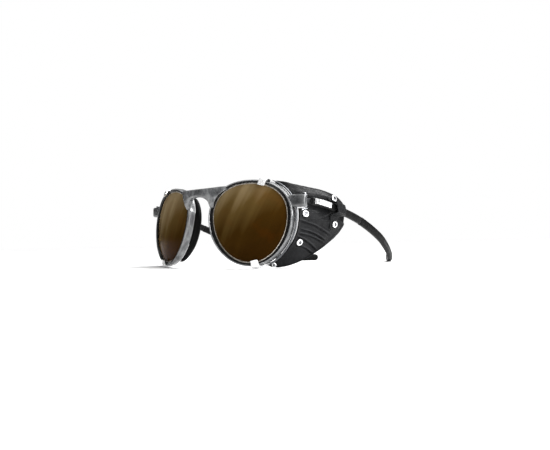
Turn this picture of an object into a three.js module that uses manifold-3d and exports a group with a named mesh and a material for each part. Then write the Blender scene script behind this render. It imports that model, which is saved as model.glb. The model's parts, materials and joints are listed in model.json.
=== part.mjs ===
// Glacier glasses with riveted side shields and folding temples.
// Millimetres, +Z up. The front faces -Y and +X is the wearer's left.
// The left half is built once, and each of its pieces is mirrored for the right half.

import * as THREE from 'three';
import { mergeVertices } from 'three/addons/utils/BufferGeometryUtils.js';
import Module from 'manifold-3d';

const wasm = await Module();
wasm.setup();

const radians = THREE.MathUtils.degToRad;
const vec = (x, y, z) => new THREE.Vector3(x, y, z);

// Driving dimensions
const GAP = 0.35;                 // between neighbouring pieces

const LENS = {
  width: 48.8, height: 46, roundness: 2.147, topWidening: 0.156, skew: -1.25,
  sphere: 90, centreX: 37.05, bottomZ: 3.5, wrap: radians(16), tilt: radians(4.8),
  edge: 0.75, front: 0.9, back: 2.1, steps: 34,
};

const RIM = { topWidth: 1.8, sideWidth: 3.2, front: -1.3, back: 3.2, groove: 1.1 };

const BRIDGE = {
  half: 24, y: -4.6, setBack: 6.6, thickness: 3.6, topZ: 47.6, topRise: 1.2,
  archHalf: 9.5, archZ: 42.6, archDrop: 7, wingDrop: 6, bevel: 1,
};

// Along the lug: the outer x, the front face's y, the depth and half the height.
const LUG = [
  [60.2, 11.4, 2.6, 3.4], [63, 11.8, 4, 3.4], [67, 12, 3.6, 3.4],
  [68.6, 12.5, 3, 3.2], [69.6, 13.4, 1.9, 2.8],
];

const PAD = {
  from: radians(134), to: radians(244), inset: 0.5, front: 3.65, halfWidth: 1.6, halfDepth: 2.15,
};

const TOP_CLIP = { at: radians(71), width: 3.6, metal: 0.7 };
const BOTTOM_CLIP = { at: radians(-80), width: 5, metal: 2.2 };
const CLIP_LAP = { glass: -1, behind: 0.8, metal: 0.7 };

const WIRE = { from: radians(62), to: radians(-66), clear: 1.4, depth: 0.4, radius: 0.55 };

const HINGE = {
  x: 67.2, y: 15.8, z: 37.2, barrel: 1.7, bore: 1.05, knuckle: 3.3, split: 1.6, middle: 1.25,
  plateFrom: 7, plateTo: 2.1, plateFront: 0.55, plateBack: 1.4,
};

const SCREW = { radius: 0.7, from: -3.6, shoulder: 3.65, head: 1.5, headTop: 4.5 };

const TEMPLE = {
  start: 18.2, armEnd: 60, end: 145, width: 3, height: 4.4, tipWidth: 3.3, tipHeight: 4.55,
  hole: [1.6, 2.7], core: [0.9, 2], coreStart: 20, coreEnd: 132, holeEnd: 134,
};

// Plates on the outside of the arm: from, to, height, outer face and inner face.
const FERRULE_PLATE = [18.6, 21.2, 2, 0.4, 0];
const FERRULE_BARS = [[18.6, 19.2, 3, 0.8, 0.2], [19.7, 20.3, 2.9, 0.8, 0.2], [20.7, 21.2, 3, 0.8, 0.2]];
const BADGE_PLATE = [22, 32.2, 3, 0.7, 0];

const SHIELD = {
  from: radians(62), to: radians(-71), thickness: 1.6, behindRim: 3.6, lip: [5.6, 1.6], bulge: 2.2,
  notchHalf: 3.9, notchDepth: 22,
};

const RIVET = { cap: 1.95, capHeight: 0.8, shank: 0.95, washer: 1.6, hole: 1.3 };

const STRAP = {
  from: 0.315, to: 0.565, thickness: 1.1, lift: 5.4,
  middle: 0.74, forward: 0.04, lean: 0.05, half: 0.075, spread: 0.02,
};

const BRACKET = { ks: [0.363, 0.378], ws: [0.03, 0.16], thickness: 0.7 };

const COLOURS = {
  charcoal: ['#3c3f42', 0.25, 0], brown: ['#4a3113', 0.12, 0.6], steel: ['#9a9da0', 0.3, 1],
  silver: ['#e4e5e6', 0.18, 1], leather: ['#1d1e20', 0.6, 0], black: ['#151516', 0.45, 0],
  rubber: ['#0e0e0f', 0.8, 0],
};

// Closed bodies ---------------------------------------------------------------------------

function signedVolume(positions, index) {
  const corner = (i) => vec(...positions.slice(3 * index[i], 3 * index[i] + 3));
  let volume = 0;
  for (let i = 0; i < index.length; i += 3) {
    volume += corner(i).dot(corner(i + 1).cross(corner(i + 2))) / 6;
  }
  return volume;
}

function closedGeometry(positions, index) {
  if (signedVolume(positions, index) < 0) {
    index.reverse();
  }
  const geometry = new THREE.BufferGeometry();
  geometry.setAttribute('position', new THREE.Float32BufferAttribute(positions, 3));
  geometry.setIndex(index);
  return geometry;
}

// A strip of triangles across one ring, from each point to its opposite one.
function capRing(index, start, count) {
  for (let j = 0; j < count / 2 - 1; j += 1) {
    const a = start + j;
    const b = start + count - 1 - j;
    index.push(a, b, b - 1);
    index.push(a, b - 1, a + 1);
  }
}

// A body through rings of points. The rings close on themselves when looped.
function loft(rings, looped = false) {
  const count = rings[0].length;
  const positions = rings.flat().flatMap((p) => [p.x, p.y, p.z]);
  const index = [];
  const spans = looped ? rings.length : rings.length - 1;
  for (let i = 0; i < spans; i += 1) {
    const a = i * count;
    const b = ((i + 1) % rings.length) * count;
    for (let j = 0; j < count; j += 1) {
      const k = (j + 1) % count;
      index.push(a + j, b + k, a + k);
      index.push(a + j, b + j, b + k);
    }
  }
  if (!looped) {
    const first = [];
    capRing(first, 0, count);
    index.push(...first.reverse());
    capRing(index, (rings.length - 1) * count, count);
  }
  return closedGeometry(positions, index);
}

// A sheet with thickness, from rows of outer points and rows of inner points.
function sheet(outer, inner) {
  return loft(outer.map((row, i) => [...row, ...inner[i].slice().reverse()]));
}

function solid(geometry) {
  const bare = geometry.clone();
  bare.deleteAttribute('normal');
  bare.deleteAttribute('uv');
  const merged = mergeVertices(bare, 1e-4);
  const vertProperties = new Float32Array(merged.attributes.position.array);
  const triVerts = new Uint32Array(merged.index.array);
  return new wasm.Manifold(new wasm.Mesh({ numProp: 3, vertProperties, triVerts }));
}

function geometryOf(body) {
  const { vertProperties, triVerts } = body.getMesh();
  return closedGeometry(Array.from(vertProperties), Array.from(triVerts));
}

const join = (...parts) => geometryOf(parts.map(solid).reduce((a, b) => a.add(b)));
const cut = (part, ...tools) => geometryOf(tools.map(solid).reduce((a, b) => a.subtract(b), solid(part)));

function placed(geometry, position, direction = vec(0, 0, 1)) {
  const turn = new THREE.Quaternion().setFromUnitVectors(vec(0, 0, 1), direction);
  return geometry.clone().applyQuaternion(turn).translate(position.x, position.y, position.z);
}

function mirrored(geometry) {
  const positions = Array.from(geometry.attributes.position.array).map((n, i) => (i % 3 ? n : -n));
  const index = Array.from(geometry.index.array);
  return closedGeometry(positions, index);
}

// A lathed body about +Z from (radius, z) pairs.
function turned(profile, segments = 12) {
  const points = profile.map(([r, z]) => new THREE.Vector2(r, z));
  return new THREE.LatheGeometry(points, segments).rotateX(Math.PI / 2);
}

// The face of the glasses -----------------------------------------------------------------

// A point of the lens outline at angle t, moved outwards by an offset, in the lens's own plane.
function outline(t, offset = 0) {
  const power = 2 / LENS.roundness;
  const at = (a) => {
    const c = Math.sign(Math.cos(a)) * Math.abs(Math.cos(a)) ** power;
    const s = Math.sign(Math.sin(a)) * Math.abs(Math.sin(a)) ** power;
    const u = c * LENS.width / 2 * (1 + LENS.topWidening * Math.sin(a)) + LENS.skew * Math.sin(a);
    return [u, s * LENS.height / 2];
  };
  const step = 0.02;
  const [u, v] = at(t);
  const [u0, v0] = at(t - step);
  const [u1, v1] = at(t + step);
  const length = Math.hypot(u1 - u0, v1 - v0);
  return [u + offset * (v1 - v0) / length, v - offset * (u1 - u0) / length];
}

// From the left lens's own plane to the glasses: base curve, tilt, then wrap.
function face(u, v, depth) {
  const y = (u * u + v * v) / (2 * LENS.sphere) + depth;
  const y2 = y * Math.cos(LENS.tilt) + v * Math.sin(LENS.tilt);
  const z2 = v * Math.cos(LENS.tilt) - y * Math.sin(LENS.tilt);
  const x3 = u * Math.cos(LENS.wrap) - y2 * Math.sin(LENS.wrap);
  const y3 = u * Math.sin(LENS.wrap) + y2 * Math.cos(LENS.wrap);
  const middleZ = LENS.bottomZ + LENS.height / 2 * Math.cos(LENS.tilt);
  return vec(LENS.centreX + x3, y3, middleZ + z2);
}

const around = (t, offset, depth) => face(...outline(t, offset), depth);
const rimWidth = (t) => RIM.topWidth + (RIM.sideWidth - RIM.topWidth) * Math.cos(t) ** 2;

function angles(from, to, steps) {
  return Array.from({ length: steps + 1 }, (_, i) => from + (to - from) * i / steps);
}

// A plate of the lens's outline and curve. Its shares are the rings between centre and edge.
function plate(offset, front, back, shares = [1]) {
  const turns = angles(0, 2 * Math.PI, LENS.steps).slice(0, -1);
  const ring = (share, depth) => turns.map((t) => {
    const [u, v] = outline(t, offset);
    return face(u * share, v * share, depth);
  });
  return loft([
    ...shares.map((share) => ring(share, front)),
    ...shares.slice().reverse().map((share) => ring(share, back)),
  ]);
}

const lens = () => plate(LENS.edge, LENS.front, LENS.back, [0.35, 0.7, 1]);

// One rim, as a ring of sections round the lens.
function rim() {
  const turns = angles(0, 2 * Math.PI, LENS.steps).slice(0, -1);
  return loft(turns.map((t) => {
    const width = rimWidth(t);
    const section = [
      [-0.2, -0.5], [width * 0.6, RIM.front], [width, -0.6],
      [width, RIM.back - 0.6], [width - 0.6, RIM.back], [-0.2, RIM.back],
    ];
    return section.map(([offset, depth]) => around(t, offset, depth));
  }), true);
}

// The bridge, with its keyhole arch between two nose wings.
function bridge() {
  const sections = angles(-BRIDGE.half, BRIDGE.half, 16);
  return loft(sections.map((x) => {
    const share = Math.abs(x) / BRIDGE.half;
    const top = BRIDGE.topZ + BRIDGE.topRise * share ** 2;
    const arch = 1 - Math.sqrt(1 - Math.min(1, Math.abs(x) / BRIDGE.archHalf) ** 3);
    const bottom = BRIDGE.archZ - BRIDGE.archDrop * arch - BRIDGE.wingDrop * Math.max(0, share - 0.4);
    const y = BRIDGE.y + BRIDGE.setBack * share ** 1.5;
    const half = BRIDGE.thickness / 2;
    const { bevel } = BRIDGE;
    const ring = [[-half, -bevel], [-half + bevel, 0], [half - bevel, 0], [half, -bevel]];
    const upper = ring.map(([dy, dz]) => vec(x, y + dy, top + dz));
    const lower = ring.map(([dy, dz]) => vec(x, y + dy, bottom - dz)).reverse();
    return [...upper, ...lower];
  }));
}

// The lug that carries the hinge, from the rim's temporal edge out to the temple's line.
function lug() {
  const bevel = 0.45;
  return loft(LUG.map(([x, front, depth, half]) => {
    const back = front + depth;
    const top = HINGE.z + half;
    const bottom = HINGE.z - half;
    return [
      vec(x, front + bevel, top), vec(x, back - bevel, top),
      vec(x, back, top - bevel), vec(x, back, bottom + bevel),
      vec(x, back - bevel, bottom), vec(x, front + bevel, bottom),
      vec(x, front, bottom + bevel), vec(x, front, top - bevel),
    ];
  }));
}

function hingePocket() {
  const radius = HINGE.barrel + GAP + 0.15;
  return placed(new THREE.CylinderGeometry(radius, radius, 9, 16).rotateX(Math.PI / 2), HINGE);
}

// A tube beside the rim, round or flattened, whose radii may change along it.
function rimTube(turns, sides, section) {
  return loft(turns.map((t, i) => {
    const { offset, depth, wide, deep } = section(t, i / (turns.length - 1));
    return angles(0, 2 * Math.PI, sides).slice(0, -1).map((a) => (
      around(t, rimWidth(t) + offset + wide * Math.cos(a), depth + deep * Math.sin(a))
    ));
  }));
}

// The round wire that carries the shield along the temporal side of the rim.
function shieldWire(turns, radius) {
  return rimTube(turns, 6, () => ({ offset: WIRE.clear, depth: WIRE.depth, wide: radius, deep: radius }));
}

// Both rims, lugs and the bridge, cut through for the lenses and grooved for their edges.
function frontFrame() {
  const half = join(rim(), lug());
  const whole = join(half, mirrored(half), bridge());
  const besideLug = angles(radians(34), radians(6), 4);
  const cuts = [
    plate(0, -6, 8), plate(RIM.groove, LENS.front - GAP, LENS.back + GAP), hingePocket(),
    shieldWire(besideLug, WIRE.radius + GAP),
  ];
  return cut(whole, ...cuts, ...cuts.map(mirrored));
}

// A soft crescent that hugs the nasal side of the rim from behind.
function nosePad() {
  return rimTube(angles(PAD.from, PAD.to, 10), 8, (t, share) => {
    const swell = 0.3 + 0.7 * Math.sin(Math.PI * (0.06 + 0.88 * share));
    const deep = PAD.halfDepth * swell;
    return { offset: -PAD.inset, depth: PAD.front + deep, wide: PAD.halfWidth * swell, deep };
  });
}

// Metal parts on the rim ------------------------------------------------------------------

function block(from, to) {
  const size = to.clone().sub(from);
  const centre = to.clone().add(from).multiplyScalar(0.5);
  return new THREE.BoxGeometry(size.x, size.y, size.z).translate(centre.x, centre.y, centre.z);
}

// A spring hook that grips the rim from the front to the back at one spot, flat where it meets the ground.
function hook({ at, width, metal }) {
  const front = RIM.front - GAP;
  const back = RIM.back + GAP;
  const turn = width / LENS.width;
  const bent = loft(angles(at - turn, at + turn, 3).map((t) => {
    const reach = rimWidth(t) + GAP;
    const shape = [
      [CLIP_LAP.glass, front], [reach, front], [reach, back], [CLIP_LAP.behind, back],
      [CLIP_LAP.behind, back + CLIP_LAP.metal], [reach + metal, back + CLIP_LAP.metal],
      [reach + metal, front - CLIP_LAP.metal], [CLIP_LAP.glass, front - CLIP_LAP.metal],
    ];
    return shape.map(([offset, depth]) => around(t, offset, depth));
  }));
  return cut(bent, block(vec(0, -50, -20), vec(100, 50, 0)));
}

// The side shield -------------------------------------------------------------------------

const shieldRear = new THREE.CatmullRomCurve3([
  vec(49, 13, 48.9), vec(56, 20.5, 47.2), vec(62, 30, 44.6), vec(66, 40, 42), vec(67.3, 47.6, 38.4),
  vec(67.6, 51.5, 32.7), vec(67, 51.2, 24.6), vec(65.8, 44.4, 17.6), vec(63.8, 33.6, 10.8),
  vec(60, 22.4, 4.6), vec(53, 13.4, 0.9), vec(46, 9.5, 1.3),
]);

// The shield's front lip stands beside the rim at the temple and slips behind it above and below.
function shieldEdge(t, offset, depth) {
  const share = Math.cos(t) ** 2;
  const behind = SHIELD.behindRim;
  return around(t, 1.4 + (offset - 1.4) * share, behind + (depth - behind) * share ** 2);
}

const shieldTurn = (k) => SHIELD.from + (SHIELD.to - SHIELD.from) * k;

// The outer surface: k runs from the top round to the bottom, w from the rim to the rear edge.
function shieldSurface(k, w) {
  const t = shieldTurn(k);
  const front = shieldEdge(t, ...SHIELD.lip);
  const rear = shieldRear.getPoint(k);
  const fullness = 0.65 * Math.cos(t) ** 2 + (t > 0 ? 0.35 : 0.05);
  const lift = SHIELD.bulge * Math.sin(Math.PI * w) * fullness;
  return front.lerp(rear, w).add(vec(Math.cos(t) * lift, 0, Math.sin(t) * lift));
}

function shieldNormal(k, w) {
  const step = 0.01;
  const along = shieldSurface(Math.min(1, k + step), w).sub(shieldSurface(Math.max(0, k - step), w));
  const back = shieldSurface(k, Math.min(1, w + step)).sub(shieldSurface(k, Math.max(0, w - step)));
  return along.cross(back).normalize();
}

// Where the rivets go through the shield, as (k, w).
const RIVET_SPOTS = {
  shield_upper_rivet: { k: 0.41, w: 0.1, size: 1 },
  shield_lower_rivet: { k: 0.635, w: 0.12, size: 1 },
  shield_bottom_stud: { k: 0.93, w: 0.3, size: 0.7 },
  loop_upper_rivet: { k: 0.345, w: 0.76, size: 1, strap: true },
  loop_lower_rivet: { k: 0.525, w: 0.67, size: 1, strap: true },
};

// The lip is folded back at the rim, so its first rows stand in for the surface near w = 0.
function shieldBody() {
  const ks = angles(0, 1, 14);
  const ws = [0.06, 0.24, 0.44, 0.64, 0.84, 1];
  const behind = SHIELD.behindRim;
  const lip = ([offset, depth]) => ks.map((k) => shieldEdge(shieldTurn(k), offset, depth));
  const inside = (w, height) => ks.map((k) => (
    shieldSurface(k, w).addScaledVector(shieldNormal(k, w), height)
  ));
  const outer = [
    lip([2, behind]), lip([3.9, behind - 0.1]), lip(SHIELD.lip), ...ws.map((w) => inside(w, 0)),
  ];
  const inner = [
    lip([2, behind + SHIELD.thickness]), lip([2.6, behind + SHIELD.thickness]),
    inside(0.14, -SHIELD.thickness),
    ...ws.slice(1).map((w) => inside(w + 0.08 * (1 - w), -SHIELD.thickness)),
    inside(1, -SHIELD.thickness),
  ];
  return sheet(outer, inner);
}

function rivetSpot({ k, w, strap }) {
  const out = shieldNormal(k, w);
  const lift = strap ? GAP + STRAP.thickness : 0;
  return [shieldSurface(k, w).addScaledVector(out, lift), out];
}

const rivetGrip = (spot) => (
  (SHIELD.thickness + (spot.strap ? GAP + STRAP.thickness : 0)) / spot.size + 0.5
);

// A tubular rivet: a domed cap outside, a shank and a washer inside.
function rivet(spot) {
  const { cap, capHeight, shank, washer } = RIVET;
  const grip = rivetGrip(spot);
  const body = turned([
    [0, -grip - 0.5], [washer, -grip - 0.5], [washer, -grip], [shank, -grip], [shank, GAP],
    [cap, GAP], [cap * 0.7, capHeight + GAP], [0, capHeight + GAP],
  ], 10);
  return placed(body.scale(spot.size, spot.size, spot.size), ...rivetSpot(spot));
}

// The hole for one rivet, with a flat seat for its cap and its washer.
function rivetHole(spot) {
  const { cap, washer, hole } = RIVET;
  const seat = 0.2 - rivetGrip(spot);
  const cutter = turned([
    [0, -8], [washer + GAP, -8], [washer + GAP, seat], [hole, seat],
    [hole, 0], [cap + GAP, 0], [cap + GAP, 4], [0, 4],
  ], 8);
  return placed(cutter.scale(spot.size, spot.size, spot.size), ...rivetSpot(spot));
}

// The shield, open at the lug and hinge and pierced for its rivets.
function sideShield() {
  const { notchHalf, notchDepth } = SHIELD;
  const notch = block(vec(56, 4, HINGE.z - notchHalf), vec(76, notchDepth, HINGE.z + notchHalf));
  return cut(shieldBody(), notch, ...Object.values(RIVET_SPOTS).map(rivetHole));
}

// A patch that follows the shield from one height over it to another.
function shieldPatch(ks, ws, low, high) {
  const rows = (height) => ks.map((k) => ws.map((w) => (
    shieldSurface(k, w).addScaledVector(shieldNormal(k, w), height)
  )));
  return sheet(rows(high), rows(low));
}

// The small bright plate under the lug that ties the shield to the wire.
function shieldBracket() {
  return shieldPatch(angles(...BRACKET.ks, 1), angles(...BRACKET.ws, 3), GAP, GAP + BRACKET.thickness);
}

// The temple ------------------------------------------------------------------------------

const templePath = new THREE.CatmullRomCurve3([
  vec(70.2, 12, 37.4), vec(70.45, 24, 36.1), vec(70.85, 40, 32.6), vec(71.2, 60, 26.4),
  vec(68, 84, 16.9), vec(63.2, 98, 11), vec(56.4, 112, 5.8), vec(50.2, 122, 3.4),
  vec(43, 132, 2.4), vec(33.8, 144.5, 2.3), vec(29.2, 150.5, 2.3),
]);

// The path's point and frame at a given y.
function templeAt(y) {
  let low = 0;
  let high = 1;
  for (let i = 0; i < 30; i += 1) {
    const middle = (low + high) / 2;
    if (templePath.getPoint(middle).y < y) {
      low = middle;
    } else {
      high = middle;
    }
  }
  const along = templePath.getTangent(low);
  const up = vec(0, 0, 1).addScaledVector(along, -along.z).normalize();
  return { point: templePath.getPoint(low), along, up, out: along.clone().cross(up) };
}

// A rounded section of the temple, moved outwards from the path when asked.
function templeSection(y, width, height, shift = 0) {
  const { point, up, out } = templeAt(y);
  const corner = Math.min(width, height) * 0.28;
  const shape = [
    [1, 1, 0, -corner], [1, 1, -corner, 0], [-1, 1, corner, 0], [-1, 1, 0, -corner],
    [-1, -1, 0, corner], [-1, -1, corner, 0], [1, -1, -corner, 0], [1, -1, 0, corner],
  ];
  return shape.map(([a, b, dx, dz]) => point.clone()
    .addScaledVector(out, shift + a * width / 2 + dx)
    .addScaledVector(up, b * height / 2 + dz));
}

function templeArm() {
  const stations = angles(TEMPLE.start, TEMPLE.armEnd, 5);
  const outer = stations.map((y) => templeSection(y, TEMPLE.width, TEMPLE.height));
  const hole = stations.map((y) => templeSection(y, ...TEMPLE.hole));
  return loft([...outer, ...hole.reverse()], true);
}

// The rubber sleeve: open at the front, closed and slightly swollen at its tip.
function templeTip() {
  const from = TEMPLE.armEnd + GAP;
  const swell = (y) => 1 + 0.1 * Math.exp(-(((y - TEMPLE.end + 6) / 7) ** 2));
  const skin = angles(from, TEMPLE.end, 12).map((y) => (
    templeSection(y, TEMPLE.tipWidth * swell(y), TEMPLE.tipHeight)
  ));
  const hole = angles(from, TEMPLE.holeEnd, 10).map((y) => templeSection(y, ...TEMPLE.hole));
  const nose = templeSection(TEMPLE.end + 1, 1.8, 2.6);
  return loft([...hole.reverse(), ...skin, nose]);
}

function templeCore() {
  return loft(angles(TEMPLE.coreStart, TEMPLE.coreEnd, 12).map((y) => (
    templeSection(y, ...TEMPLE.core)
  )));
}

// A flat plate against the outside of the arm.
function templePlate([from, to, height, outside, inside]) {
  const shift = TEMPLE.width / 2 + GAP + (outside + inside) / 2;
  return loft([from, to].map((y) => templeSection(y, outside - inside, height, shift)));
}

const templeFerrule = () => join(templePlate(FERRULE_PLATE), ...FERRULE_BARS.map(templePlate));
const templeBadge = () => templePlate(BADGE_PLATE);

// The hinge -------------------------------------------------------------------------------

const atHinge = (geometry) => placed(geometry, vec(HINGE.x, HINGE.y, HINGE.z));

function barrel(from, to) {
  const { bore, barrel: radius } = HINGE;
  return atHinge(turned([[bore, from], [radius, from], [radius, to], [bore, to], [bore, from]], 14));
}

function hingeBore() {
  return atHinge(turned([[0, -5], [HINGE.bore, -5], [HINGE.bore, 5], [0, 5]], 14));
}

function hingeFrontLeaf() {
  const { x, y, z, knuckle, split, plateFrom, plateTo, plateFront, plateBack } = HINGE;
  const tall = knuckle - split;
  const fingers = [z - knuckle, z + split].map((low) => (
    block(vec(x - 2.4, y + plateFront, low), vec(x - 0.9, y + plateBack, low + tall))
  ));
  const leaf = block(
    vec(x - plateFrom, y + plateFront, z - knuckle), vec(x - plateTo, y + plateBack, z + knuckle),
  );
  return join(leaf, ...fingers, barrel(-knuckle, -split), barrel(split, knuckle));
}

// The temple's leaf is a thin strip that follows the arm a little way down.
function hingeTempleLeaf() {
  const { x, z, middle } = HINGE;
  const half = 1.1;
  const strip = loft([[16.2, 0], [18, 0], [26.5, -1.5]].map(([y, drop]) => [
    vec(x + 1.25, y, z + half + drop), vec(x + 0.65, y, z + half + drop),
    vec(x + 0.65, y, z - half + drop), vec(x + 1.25, y, z - half + drop),
  ]));
  return cut(join(strip, barrel(-middle, middle)), hingeBore());
}

function hingeScrew() {
  const { radius, from, shoulder, head, headTop } = SCREW;
  return atHinge(turned([
    [0, from], [radius, from], [radius, shoulder], [head, shoulder],
    [head, headTop - 0.3], [head - 0.4, headTop], [0, headTop],
  ], 14));
}

// The strap that holds the temple against the shield ---------------------------------------

function strapHeight(point) {
  const offCentre = Math.abs(point.z - templeAt(point.y).point.z);
  return GAP + STRAP.lift * (1 - THREE.MathUtils.smoothstep(offCentre, 2.6, 5.8));
}

const strapRivets = Object.values(RIVET_SPOTS).filter((spot) => spot.strap);

// It is broad over the temple and narrows to a tab round each rivet.
function strapLoop() {
  const rows = (extra) => angles(0, 1, 12).map((share) => {
    const k = STRAP.from + (STRAP.to - STRAP.from) * share;
    const broad = Math.sin(Math.PI * share) ** 0.7;
    const tab = Math.min(1, 9 * Math.min(share, 1 - share) + 0.45);
    return angles(-1, 1, 3).map((b) => {
      const reach = (STRAP.half + STRAP.spread * broad) * b * tab;
      const point = shieldSurface(k, STRAP.middle - STRAP.forward * broad - STRAP.lean * share + reach);
      return point.add(vec(strapHeight(point) + extra, 0, 0));
    });
  });
  return cut(sheet(rows(STRAP.thickness), rows(0)), ...strapRivets.map(rivetHole));
}

// Assembly --------------------------------------------------------------------------------

const glasses = new THREE.Group();

function addMesh(name, geometry, colour) {
  const [color, roughness, metalness] = COLOURS[colour];
  const material = new THREE.MeshStandardMaterial({ color, roughness, metalness });
  const mesh = new THREE.Mesh(geometry, material);
  mesh.name = name;
  glasses.add(mesh);
}

function addPair(name, geometry, colour) {
  addMesh(`left_${name}`, geometry, colour);
  addMesh(`right_${name}`, mirrored(geometry), colour);
}

addMesh('front_frame', frontFrame(), 'charcoal');
addPair('lens', lens(), 'brown');
addPair('nose_pad', nosePad(), 'rubber');
addPair('top_clip', hook(TOP_CLIP), 'silver');
addPair('bottom_clip', hook(BOTTOM_CLIP), 'silver');
addPair('shield_wire', shieldWire(angles(WIRE.from, WIRE.to, 18), WIRE.radius), 'steel');
addPair('side_shield', sideShield(), 'leather');
addPair('shield_bracket', shieldBracket(), 'silver');
Object.entries(RIVET_SPOTS).forEach(([name, spot]) => addPair(name, rivet(spot), 'silver'));
addPair('hinge_front_leaf', hingeFrontLeaf(), 'steel');
addPair('hinge_temple_leaf', hingeTempleLeaf(), 'steel');
addPair('hinge_screw', hingeScrew(), 'steel');
addPair('temple_arm', templeArm(), 'black');
addPair('temple_core', templeCore(), 'steel');
addPair('temple_tip', templeTip(), 'rubber');
addPair('temple_ferrule', templeFerrule(), 'silver');
addPair('temple_badge', templeBadge(), 'silver');
addPair('shield_strap', strapLoop(), 'leather');

// The origin is on the ground, under the middle of the box round the open glasses.
const bounds = new THREE.Box3().setFromObject(glasses);
const middle = bounds.getCenter(new THREE.Vector3());
glasses.position.set(-middle.x, -middle.y, -bounds.min.z);

export default glasses;
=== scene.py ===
# Glacier glasses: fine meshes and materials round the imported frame. Blender 4.5.
import json
import math

import bmesh
import bpy
from mathutils import Matrix, Vector, noise

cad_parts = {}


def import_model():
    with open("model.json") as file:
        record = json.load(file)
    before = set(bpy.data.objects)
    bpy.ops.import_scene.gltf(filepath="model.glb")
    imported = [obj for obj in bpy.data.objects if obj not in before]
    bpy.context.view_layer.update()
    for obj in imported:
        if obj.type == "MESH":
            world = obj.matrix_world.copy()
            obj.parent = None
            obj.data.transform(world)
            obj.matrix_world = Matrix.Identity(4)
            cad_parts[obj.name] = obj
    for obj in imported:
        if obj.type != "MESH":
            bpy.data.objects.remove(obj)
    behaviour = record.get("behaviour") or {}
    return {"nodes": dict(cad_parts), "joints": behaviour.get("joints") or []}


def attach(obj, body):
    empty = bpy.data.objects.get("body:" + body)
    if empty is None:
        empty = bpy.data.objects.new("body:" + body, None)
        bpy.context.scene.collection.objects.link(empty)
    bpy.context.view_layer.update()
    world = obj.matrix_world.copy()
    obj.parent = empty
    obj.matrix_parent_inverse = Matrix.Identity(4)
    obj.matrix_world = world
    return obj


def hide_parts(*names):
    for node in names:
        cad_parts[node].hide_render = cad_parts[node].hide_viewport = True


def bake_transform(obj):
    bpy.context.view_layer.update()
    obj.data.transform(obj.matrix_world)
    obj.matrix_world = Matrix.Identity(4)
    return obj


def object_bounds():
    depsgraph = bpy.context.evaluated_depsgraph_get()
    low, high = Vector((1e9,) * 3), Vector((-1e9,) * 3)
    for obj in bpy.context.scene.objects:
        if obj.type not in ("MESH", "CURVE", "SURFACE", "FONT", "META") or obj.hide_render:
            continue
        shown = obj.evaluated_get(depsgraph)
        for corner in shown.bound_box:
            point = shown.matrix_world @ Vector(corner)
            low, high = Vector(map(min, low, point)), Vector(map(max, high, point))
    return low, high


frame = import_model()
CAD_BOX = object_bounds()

# The glasses are described in millimetres, in the CAD model's own drawing frame:
# +Z up, the front faces -Y, +X is the wearer's left. The left hinge ties the two frames.
MM = 0.001
BACKWARD, UP = Vector((0, 1, 0)), Vector((0, 0, 1))
HINGE = Vector((67.2, 15.8, 37.2))
LEFT_FOLD = next(j for j in frame["joints"] if j["name"] == "left_fold")
ORIGIN = Vector(LEFT_FOLD["pos_m"]) - HINGE * MM
# The air between pieces that touch on the real object.
GAP = 0.35

# The lens: its outline, its base curve's radius, and its place and turn in the front.
LENS_W, LENS_H, ROUNDNESS = 48.8, 46.0, 2.147
TOP_WIDENING, SKEW, SPHERE = 0.156, -1.25, 90.0
LENS_X, LENS_Z = 37.05, 3.5
WRAP, TILT = math.radians(16), math.radians(4.8)

# The rim: its width at the top and at the sides, and the depths of its front and back faces.
RIM_TOP, RIM_SIDE, RIM_FRONT, RIM_BACK = 1.8, 3.2, -1.3, 3.2

# The shield: the angles round the lens where it starts and ends, its front lip as (offset,
# depth), its depth where it slips behind the rim, its bulge, and its leather's thickness.
SHIELD_FROM, SHIELD_TO = math.radians(62), math.radians(-71)
SHIELD_LIP, BEHIND_RIM, SHIELD_BULGE, LEATHER = (5.6, 1.6), 3.6, 2.2, 1.6
# Two points by the hinge, the first nearer the front and the second nearer the temple.
SHIELD_BEND = Vector((58, 12, HINGE.z)), Vector((66, 26, HINGE.z))

# The loop's thickness, the rivets' size against the profile in rivet(), and the width and
# height of the temple arm and of the hole along it.
STRAP, RIVET_SCALE = 1.1, 0.85
ARM, CORE_HOLE = (3.0, 4.4), (1.6, 2.7)


# Points and curves -------------------------------------------------------------------------

def world(point):
    return ORIGIN + Vector(point) * MM


def spread(start, end, steps):
    """Evenly spaced numbers from start to end, one more than steps."""
    return [start + (end - start) * i / steps for i in range(steps + 1)]


def smooth(low, high, value):
    """0 below low, 1 above high, and a soft step between them."""
    share = min(1.0, max(0.0, (value - low) / (high - low)))
    return share * share * (3 - 2 * share)


def superellipse(a, power):
    """A point of the unit superellipse: power 1 gives a circle, and less gives squarer corners."""
    c, s = math.cos(a), math.sin(a)
    return math.copysign(abs(c) ** power, c), math.copysign(abs(s) ** power, s)


def soft_ring(centre, across, along, half_across, half_along, power, count=28):
    """A ring of points with the outline of a soft-cornered box."""
    ring = []
    for i in range(count):
        c, s = superellipse(2 * math.pi * (i + 0.5) / count, power)
        ring.append(centre + across * (c * half_across) + along * (s * half_along))
    return ring


def outline(t, offset=0.0):
    """The lens outline at angle t in the lens's own plane, moved outwards by an offset."""
    def at(a):
        c, s = superellipse(a, 2 / ROUNDNESS)
        widening = 1 + TOP_WIDENING * math.sin(a)
        return c * LENS_W / 2 * widening + SKEW * math.sin(a), s * LENS_H / 2
    u, v = at(t)
    (u0, v0), (u1, v1) = at(t - 0.02), at(t + 0.02)
    length = math.hypot(u1 - u0, v1 - v0)
    return u + offset * (v1 - v0) / length, v - offset * (u1 - u0) / length


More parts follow.
